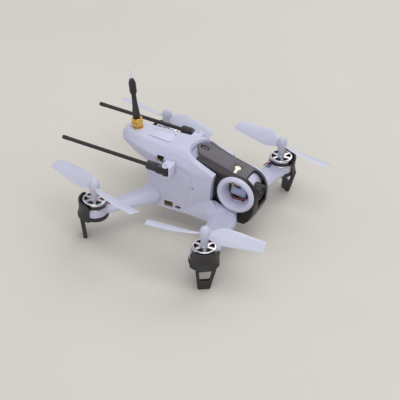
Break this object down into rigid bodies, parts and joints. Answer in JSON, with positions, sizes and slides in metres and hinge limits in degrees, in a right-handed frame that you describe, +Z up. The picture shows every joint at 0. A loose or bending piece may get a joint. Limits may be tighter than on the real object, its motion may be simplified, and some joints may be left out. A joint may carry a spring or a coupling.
{
  "type": "fpv racing drone",
  "caption": "Compact racing quadcopter with a nose camera that tilts in a ring-sided cradle, spinning rotors, guarded feet, swinging receiver antennas and a sliding battery.",
  "frame": {"origin": "on the ground, under the middle of the bounding box", "axes": "+X towards the nose, +Y to the drone's left, +Z up"},
  "size_m": [0.1742, 0.152, 0.1093],
  "materials": {
    "body_white": "satin moulded shell, cool white",
    "panel_white": "satin moulded panel",
    "visor_black": "polished black",
    "window_pale": "milky light window",
    "foot_black": "soft-touch black",
    "stator_silver": "machined",
    "winding_copper": "enamelled copper wire on dark iron teeth",
    "bearing_steel": "polished",
    "screw_steel": "black oxide",
    "wire_colour": "red, black and blue sleeving",
    "bell_silver": "turned",
    "magnet_dark": "dark nickel",
    "shaft_steel": "ground",
    "blade_white": "satin, slightly translucent",
    "camera_case": "satin blue grey",
    "lens_black": "satin black",
    "lens_clear": "coated glass",
    "pin_steel": "plain",
    "antenna_black": "matt black",
    "gold": "gold plated",
    "wire_white": "white",
    "board_dark": "circuit board with components",
    "battery_wrap": "heat-shrink wrapped",
    "header_black": "black plastic with gold pins"
  },
  "bodies": {
    "airframe": {"lower_frame": "body_white", "upper_shell": "body_white", "top_panel": "panel_white", "front_visor": "visor_black", "visor_window": "window_pale", "foot_front_right": "foot_black", "stator_base_front_right": "stator_silver", "foot_front_left": "foot_black", "stator_base_front_left": "stator_silver", "foot_rear_left": "foot_black", "stator_base_rear_left": "stator_silver", "foot_rear_right": "foot_black", "stator_base_rear_right": "stator_silver", "stator_windings": "winding_copper", "motor_bearings": "bearing_steel", "motor_screws": "screw_steel", "motor_wires": "wire_colour", "antenna_bracket_left": "body_white", "antenna_bracket_right": "body_white", "antenna_pins": "pin_steel", "coax_jack": "gold", "video_antenna_stem": "antenna_black", "video_antenna_cap": "antenna_black", "video_antenna_wire": "wire_white", "flight_controller": "board_dark", "power_board": "board_dark", "receiver_board": "board_dark", "video_transmitter": "board_dark", "servo_header": "header_black", "usb_port": "bearing_steel", "receiver_pins": "header_black", "frame_screws": "screw_steel"},
    "rotor_front_right": {"bell_front_right": "bell_silver", "magnet_ring_front_right": "magnet_dark", "motor_shaft_front_right": "shaft_steel", "propeller_front_right": "blade_white"},
    "rotor_front_left": {"bell_front_left": "bell_silver", "magnet_ring_front_left": "magnet_dark", "motor_shaft_front_left": "shaft_steel", "propeller_front_left": "blade_white"},
    "rotor_rear_left": {"bell_rear_left": "bell_silver", "magnet_ring_rear_left": "magnet_dark", "motor_shaft_rear_left": "shaft_steel", "propeller_rear_left": "blade_white"},
    "rotor_rear_right": {"bell_rear_right": "bell_silver", "magnet_ring_rear_right": "magnet_dark", "motor_shaft_rear_right": "shaft_steel", "propeller_rear_right": "blade_white"},
    "camera": {"camera_cradle": "body_white", "camera_module": "camera_case", "lens_barrel": "lens_black", "lens_glass": "lens_clear", "camera_wires": "wire_colour"},
    "antenna_left": {"antenna_sleeve_left": "antenna_black", "antenna_tube_left": "antenna_black"},
    "antenna_right": {"antenna_sleeve_right": "antenna_black", "antenna_tube_right": "antenna_black"},
    "coax_nut": {"video_antenna_nut": "gold"},
    "battery": {"battery_pack": "battery_wrap", "battery_lead": "wire_colour"}
  },
  "joints": [
    {"name": "spin_front_right", "type": "hinge", "parent": "airframe", "child": "rotor_front_right", "pos_m": [0.0453, -0.0633, 0.0317], "axis": [0, 0, 1], "continuous": true},
    {"name": "spin_front_left", "type": "hinge", "parent": "airframe", "child": "rotor_front_left", "pos_m": [0.0453, 0.0633, 0.0317], "axis": [0, 0, 1], "continuous": true},
    {"name": "spin_rear_left", "type": "hinge", "parent": "airframe", "child": "rotor_rear_left", "pos_m": [-0.0454, 0.0538, 0.0317], "axis": [0, 0, 1], "continuous": true},
    {"name": "spin_rear_right", "type": "hinge", "parent": "airframe", "child": "rotor_rear_right", "pos_m": [-0.0454, -0.0538, 0.0317], "axis": [0, 0, 1], "continuous": true},
    {"name": "camera_tilt", "type": "hinge", "parent": "airframe", "child": "camera", "pos_m": [0.04397, 0, 0.0425], "axis": [0, -1, 0], "range_deg": [0, 35]},
    {"name": "antenna_left_swing", "type": "hinge", "parent": "airframe", "child": "antenna_left", "pos_m": [-0.00501, 0.0252, 0.05215], "axis": [0.0523, 0, -0.9986], "range_deg": [0, 70]},
    {"name": "antenna_right_swing", "type": "hinge", "parent": "airframe", "child": "antenna_right", "pos_m": [-0.00501, -0.0252, 0.05215], "axis": [-0.0523, 0, 0.9986], "range_deg": [0, 70]},
    {"name": "coax_nut_spin", "type": "hinge", "parent": "airframe", "child": "coax_nut", "pos_m": [-0.04122, 0, 0.06297], "axis": [-0.1564, 0, 0.9877], "continuous": true},
    {"name": "battery_slide", "type": "slide", "parent": "airframe", "child": "battery", "axis": [-0.9986, 0, -0.0523], "range_m": [0, 0.035]}
  ]
}
